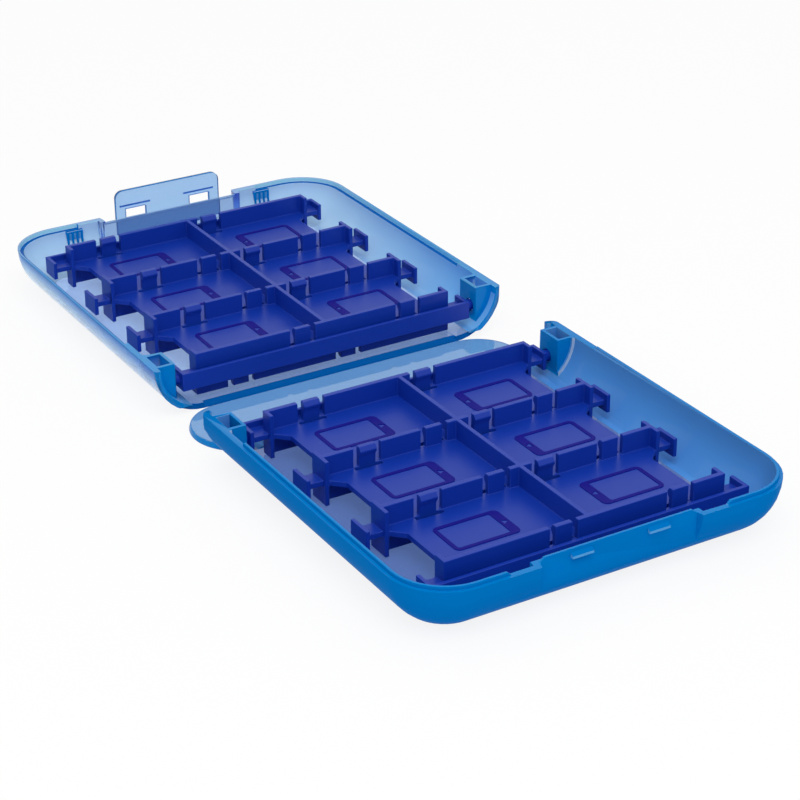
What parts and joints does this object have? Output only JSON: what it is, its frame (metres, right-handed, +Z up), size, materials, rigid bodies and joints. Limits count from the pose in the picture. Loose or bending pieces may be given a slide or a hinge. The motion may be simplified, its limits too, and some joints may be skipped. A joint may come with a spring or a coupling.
{
  "type": "game card case",
  "caption": "Folding game card case, open flat: clear rounded shells on a hinged spine plate, two-sided clip trays that turn up like pages, and a snap latch flap.",
  "frame": {"origin": "on the table under the middle of the spine plate, with the case open flat", "axes": "+X along the spine, +Y from the spine to the lid half, +Z up out of the open trays"},
  "size_m": [0.0894, 0.1984, 0.0183],
  "materials": {
    "clear_blue": "clear glossy polypropylene tinted blue",
    "deep_blue": "opaque satin deep blue plastic"
  },
  "bodies": {
    "base": {"base_shell": "clear_blue", "base_hinge_web": "clear_blue"},
    "spine": {"spine_plate": "clear_blue", "lid_hinge_web": "clear_blue"},
    "lid": {"lid_shell": "clear_blue", "latch_hinge_web": "clear_blue"},
    "latch": {"latch_flap": "clear_blue"},
    "base_tray": {"base_tray": "deep_blue"},
    "lid_tray": {"lid_tray": "deep_blue"}
  },
  "joints": [
    {"name": "base_hinge", "type": "hinge", "parent": "base", "child": "spine", "pos_m": [0, -0.0118, 0.0002], "axis": [-1, 0, 0], "range_deg": [-90, 0], "deforming": ["base_hinge_web"]},
    {"name": "lid_hinge", "type": "hinge", "parent": "spine", "child": "lid", "pos_m": [0, 0.0118, 0.0002], "axis": [-1, 0, 0], "range_deg": [-90, 0], "deforming": ["lid_hinge_web"]},
    {"name": "latch_hinge", "type": "hinge", "parent": "lid", "child": "latch", "pos_m": [0, 0.098, 0.0065], "axis": [-1, 0, 0], "range_deg": [0, 90], "deforming": ["latch_hinge_web"]},
    {"name": "base_tray_pivot", "type": "hinge", "parent": "base", "child": "base_tray", "pos_m": [0, -0.0162, 0.0067], "axis": [-1, 0, 0], "range_deg": [0, 95]},
    {"name": "lid_tray_pivot", "type": "hinge", "parent": "lid", "child": "lid_tray", "pos_m": [0, 0.0162, 0.0067], "axis": [1, 0, 0], "range_deg": [0, 95]}
  ]
}
